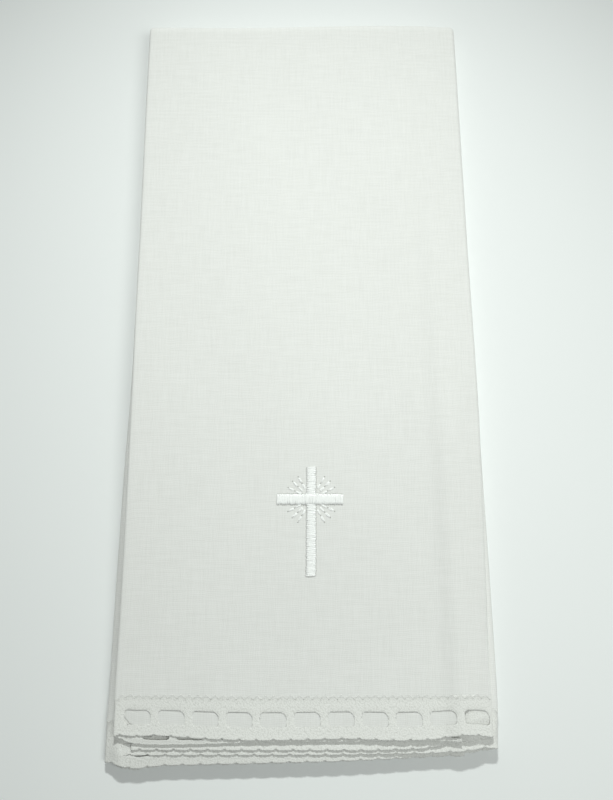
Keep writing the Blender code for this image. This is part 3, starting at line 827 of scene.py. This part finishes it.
def thread_tubes(name, paths, radius, flatness=1.0, sides=6):
    """Threads along folded paths, closed at both ends, as high as the flatness times their width.

    Each path point carries a ring. The ring's first direction is level, square to the line between
    the path's ends, and its second is square to that and to the path.
    """
    threads, stations, _ = paths.shape
    tangent = np.gradient(paths, axis=1)
    tangent /= np.linalg.norm(tangent, axis=2, keepdims=True)
    level = np.cross(paths[:, -1] - paths[:, 0], (0.0, 0.0, 1.0))
    level = (level / np.linalg.norm(level, axis=1, keepdims=True))[:, None, :]
    level = level - tangent * (tangent * level).sum(axis=2, keepdims=True)
    level /= np.linalg.norm(level, axis=2, keepdims=True)
    upright = np.cross(level, tangent)
    angle = 2 * math.pi * np.arange(sides) / sides
    ring = level[:, :, None] * np.cos(angle)[:, None]
    ring = ring + flatness * upright[:, :, None] * np.sin(angle)[:, None]
    points = paths[:, :, None] + ring * radius
    index = np.arange(threads * stations * sides).reshape(threads, stations, sides)
    here, following = index[:, :-1], index[:, 1:]
    walls = (here, np.roll(here, -1, axis=2), np.roll(following, -1, axis=2), following)
    walls = np.stack(walls, axis=-1)
    caps = []
    for first in range(1, sides - 2, 2):
        fan = (0, first, first + 1, first + 2)
        caps += [index[:, 0][:, fan[::-1]], index[:, -1][:, fan]]
    quads = np.concatenate([walls.reshape(-1, 4), *caps])
    length = np.cumsum(np.linalg.norm(np.diff(paths, axis=1, prepend=paths[:, :1]), axis=2), axis=1)
    along = np.broadcast_to(length[:, :, None], index.shape)
    around = np.broadcast_to(np.arange(sides) / sides, index.shape)
    flat = np.stack((along.ravel(), around.ravel() * 2 * math.pi * STITCH_RADIUS), axis=-1)
    return add_mesh(name, points.reshape(-1, 3), quads, flat)


def flat_v(reach):
    """Flat distance along the top panel to a reach, at the cross."""
    seam = end_lines("upper", np.array([flat_u("middle", CROSS_X)]))[0][0]
    return CROSS_ARC / 2 + (reach - FAR_CENTRE) / (seam - FAR_CENTRE) * (V_END - CROSS_ARC / 2)


def arched(starts, ends, height, stations):
    """Paths from starts to ends on the flat cloth that rise over it like a flattened arch.

    The rise is 1 less a power of how far a point is from the middle, from 0 there to 1 at the ends.
    """
    share = np.linspace(0.0, 1.0, stations)[None, :, None]
    flat = starts[:, None, :] * (1.0 - share) + ends[:, None, :] * share
    rise = 1.0 - np.abs(2.0 * share[..., 0] - 1.0) ** ARCH_POWER
    w = SHEET / 2 - BURIED + (height[:, None] + BURIED) * rise
    return folded(flat[..., 0], flat[..., 1], w)


def satin_bar(length_start, length_end, half_width, across):
    """Close parallel stitches over a bar, each slanted by half a spacing, with small unevenness.

    Gives the threads' paths and the places of the needle's holes.
    """
    places = np.arange(length_start, length_end, STITCH_SPACING)
    count = len(places)
    side = half_width * (1.0 + REACH_UNEVENNESS * rng.standard_normal((count, 2)))
    slip = PLACE_UNEVENNESS * rng.standard_normal((count, 2))
    slant = STITCH_SPACING / 2 * np.where(np.arange(count) % 2, 1.0, -1.0)
    starts = np.column_stack((-side[:, 0], places + slip[:, 0] - slant / 2))
    ends = np.column_stack((side[:, 1], places + slip[:, 1] + slant / 2))
    if across:
        starts, ends = starts[:, ::-1], ends[:, ::-1]
    over = across * CROSSING_HEIGHT * np.exp(-(places / CROSSING_WIDTH) ** 2)
    heights = (STITCH_HEIGHT + over) * (1.0 + HEIGHT_UNEVENNESS * rng.standard_normal(count))
    starts, ends = cross_centre + starts, cross_centre + ends
    return arched(starts, ends, heights, STITCH_STATIONS), np.concatenate((starts, ends))


# White mercerised embroidery cotton: smoother and brighter than the linen, with a soft gloss and
# the fine slanting lines of its twist, whose grooves are painted a shade darker.
TWIST_SPACING = 0.2 * MM
thread, tree, shader = new_material("White_mercerised_embroidery_cotton", roughness=0.4, specular=0.8,
                                    sheen=0.6)
flat_map = add_node(tree, "ShaderNodeUVMap", uv_map="Flat")
axes = add_node(tree, "ShaderNodeSeparateXYZ", [(0, flat_map.outputs["UV"])])
slant = add_node(tree, "ShaderNodeMath", [(0, axes.outputs["X"]), (1, axes.outputs["Y"])],
                 operation="ADD")
turns = add_node(tree, "ShaderNodeMath", [(0, slant.outputs[0]), (1, 2 * math.pi / TWIST_SPACING)],
                 operation="MULTIPLY")
twist = add_node(tree, "ShaderNodeMath", [(0, turns.outputs[0])], operation="SINE")
colour_by_height(tree, shader, twist.outputs[0], lowest=-1.0, highest=1.0, deep="#fafcfa",
                 raised="#ffffff", strength=0.25, distance=0.02 * MM)

cross_centre = np.array((flat_u("middle", CROSS_X), flat_v(CROSS_REACH)))
upright, upright_holes = satin_bar(-CROSS_FAR_LIMB, CROSS_NEAR_LIMB, CROSS_BAR / 2, False)
arm, arm_holes = satin_bar(-CROSS_LEFT_LIMB, CROSS_RIGHT_LIMB, CROSS_ARM / 2, True)
stitches = np.concatenate((upright, arm))
cross = thread_tubes("satin_stitch_cross", stitches, STITCH_RADIUS, STITCH_FLATNESS)
cross.data.materials.append(thread)
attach(cross, "root")
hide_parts("embroidered_cross")


# The rays: short straight stitches of the same thread, three in each corner of the cross, each of
# two stitches in line. The needle leaves small open holes at the ends of these and along the bars.

# Slopes in degrees, then where the stitches start and end and where the holes lie, in millimetres
# from the middle of the cross. Each stitch is two threads, which draw together toward its end.
RAY_SLOPES = (27.0, 43.5, 59.5)
RAY_STITCHES = ((3.4, 5.1), (5.7, 7.3))
HOLE_DISTANCES = (5.4, 7.65)
RAY_HALF_SPREAD = 0.15 * MM
RAY_END_SHARE = 0.4
RAY_JITTER = 0.06 * MM
RAY_HEIGHT = 0.05 * MM
RAY_RADIUS = 0.19 * MM
RAY_FLATNESS = 0.5
RAY_STATIONS = 9
HOLE_RADIUS = 0.19 * MM
BAR_HOLE_RADIUS = 0.13 * MM
HOLE_MIDDLE_SHARE = 0.3
HOLE_RISE = 0.03 * MM
HOLE_SIDES = 8

starts, ends, hole_spots = [], [], []
for slope in np.radians(RAY_SLOPES):
    for sign_u in (-1, 1):
        for sign_v in (-1, 1):
            away = np.array((sign_u * math.cos(slope), sign_v * math.sin(slope)))
            beside = np.array((-away[1], away[0]))
            hole_spots += [cross_centre + away * distance * MM for distance in HOLE_DISTANCES]
            for first, last in RAY_STITCHES:
                for shift in (-RAY_HALF_SPREAD, RAY_HALF_SPREAD):
                    jitter = RAY_JITTER * rng.standard_normal((2, 2))
                    starts.append(cross_centre + away * first * MM + beside * shift + jitter[0])
                    drawn_in = beside * shift * RAY_END_SHARE
                    ends.append(cross_centre + away * last * MM + drawn_in + jitter[1])
heights = np.full(len(starts), RAY_HEIGHT)
paths = arched(np.array(starts), np.array(ends), heights, RAY_STATIONS)
rays = thread_tubes("ray_stitches", paths, RAY_RADIUS, RAY_FLATNESS)
rays.data.materials.append(thread)
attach(rays, "root")

# Painted shade: grey discs on the linen stand for the shade inside the open holes that the needle leaves
# between the linen's threads
hole_shade, tree, shader = new_material("Shade_in_needle_holes", roughness=1.0, specular=0.0)
shader.inputs["Base Color"].default_value = linear("#b4b4b0")

# Each hole's painted shade is a small disc: three faces in its middle and a ring of faces round them
bar_holes = np.concatenate((upright_holes, arm_holes))
hole_radii = np.repeat((HOLE_RADIUS, BAR_HOLE_RADIUS), (len(hole_spots), len(bar_holes)))
hole_spots = np.concatenate((hole_spots, bar_holes))
ring = np.arange(HOLE_SIDES)
around = 2 * math.pi * ring / HOLE_SIDES
rim = np.stack((np.cos(around), np.sin(around)), axis=-1) * hole_radii[:, None, None]
spots = hole_spots[:, None, :] + np.concatenate((rim * HOLE_MIDDLE_SHARE, rim), axis=1)
hole_w = np.full(spots.shape[:2], SHEET / 2 + HOLE_RISE)
hole_points = folded(spots[..., 0], spots[..., 1], hole_w)
middle_quads = np.array(((0, 1, 2, 3), (0, 3, 4, 7), (4, 5, 6, 7)))
following = (ring + 1) % HOLE_SIDES
ring_quads = np.stack((ring, ring + HOLE_SIDES, following + HOLE_SIDES, following), axis=-1)
first_points = 2 * HOLE_SIDES * np.arange(len(hole_spots))
hole_quads = np.concatenate((middle_quads, ring_quads)) + first_points[:, None, None]
holes = add_mesh("needle_holes", hole_points.reshape(-1, 3), hole_quads.reshape(-1, 4),
                 spots.reshape(-1, 2))
holes.data.materials.append(hole_shade)
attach(holes, "root")


# The seam: a narrow zigzag of fine cotton sewing thread, which joins each lace edging to the end of
# the linen. Its thread is much thinner than the embroidery's, so from above it hardly shows.

# Where the zigzag turns, from the seam, positive toward the lace
ZIGZAG_TURNS = (-0.75 * MM, 0.35 * MM)
ZIGZAG_STATIONS = 7
SEAM_THREAD_RADIUS = 0.05 * MM
SEAM_THREAD_HEIGHT = 0.03 * MM
SEAM_THREAD_ARCH = 0.04 * MM

seam_paths = []
share = np.linspace(0.0, 1.0, ZIGZAG_STATIONS)[None, :]
for half_sign in (1, -1):
    first_turn = math.ceil(U_LEFT_EDGE / REPEAT) + 1
    turns = REPEAT * np.arange(first_turn, math.floor(U_RIGHT_EDGE / REPEAT))
    if half_sign > 0:
        # The seam of the upper left flap lies out of sight, pressed between the layers of lace
        turns = turns[turns > -U_PANEL_START]
    for begin, (start, end) in ((turns, ZIGZAG_TURNS), (turns + REPEAT / 2, ZIGZAG_TURNS[::-1])):
        path_u = begin[:, None] + share * REPEAT / 2
        path_v = np.broadcast_to(half_sign * (V_END + start + (end - start) * share), path_u.shape)
        rise = SHEET / 2 + SEAM_THREAD_HEIGHT + SEAM_THREAD_ARCH * np.sin(math.pi * share)
        seam_paths.append(folded(path_u, path_v, np.broadcast_to(rise, path_u.shape)))
seams = thread_tubes("seam_stitches", np.concatenate(seam_paths), SEAM_THREAD_RADIUS)
seams.data.materials.append(lace_cotton)
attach(seams, "root")


# The plain pale table top, with soft room light, a small softbox beyond the far fold and a broad
# one on the right, and the camera almost straight above the cloth.

TABLE_SIZE = 3.0
TABLE_DROP = 0.05 * MM
LIGHT_COLOUR = (0.955, 1.0, 0.965)
ROOM_STRENGTH = 0.196
CAMERA_HEIGHT = 184.0 * MM
CAMERA_X = 53.1 * MM
CAMERA_REACH = 165.0 * MM
CAMERA_TILT = 11.1

bpy.ops.mesh.primitive_plane_add(size=TABLE_SIZE, location=(0.0, 0.0, -TABLE_DROP))
floor = bpy.context.object
floor.name = "table_top"
pale, tree, shader = new_material("Pale_matt_table_top", roughness=0.9, specular=0.1)
shader.inputs["Base Color"].default_value = linear("#f1f3f3")
floor.data.materials.append(pale)

world = bpy.data.worlds.new("Soft_room_light")
bpy.context.scene.world = world
world.use_nodes = True
background = world.node_tree.nodes["Background"]
background.inputs["Color"].default_value = (*LIGHT_COLOUR, 1.0)
background.inputs["Strength"].default_value = ROOM_STRENGTH

# The far softbox has a grid, so that little of its light falls outside the cone of its spread.
# (name, power in watts, width, height, spread in degrees, place, place it is aimed at)
SOFTBOXES = (
    ("Far_softbox", 0.44, 0.048, 0.019, 100.8, (-0.005, 0.28, 0.264), (-0.01, -0.277, 0.0)),
    ("Right_softbox", 0.58, 0.2, 0.2, 180.0, (0.19, -0.09, 0.35), (0.0, 0.0, 0.0)),
)
for name, power, width, height, spread, place, aim in SOFTBOXES:
    lamp = bpy.data.lights.new(name, "AREA")
    lamp.shape = "RECTANGLE"
    lamp.size = width
    lamp.size_y = height
    lamp.energy = power
    lamp.spread = math.radians(spread)
    lamp.color = LIGHT_COLOUR
    softbox = bpy.data.objects.new(name, lamp)
    softbox.location = place
    softbox.rotation_euler = (Vector(place) - Vector(aim)).to_track_quat("Z", "Y").to_euler()
    bpy.context.scene.collection.objects.link(softbox)

view = bpy.data.cameras.new("Camera")
view.lens = 28.08
view.sensor_width = 36.0
view.clip_start = 0.01
camera = bpy.data.objects.new("Camera", view)
camera.location = (LEFT_FOLD_X + CAMERA_X, FAR_FOLD_Y - CAMERA_REACH, STACK + CAMERA_HEIGHT)
camera.rotation_euler = (math.radians(CAMERA_TILT), 0.0, 0.0)
bpy.context.scene.collection.objects.link(camera)
bpy.context.scene.camera = camera
bpy.context.scene.view_settings.view_transform = "Standard"
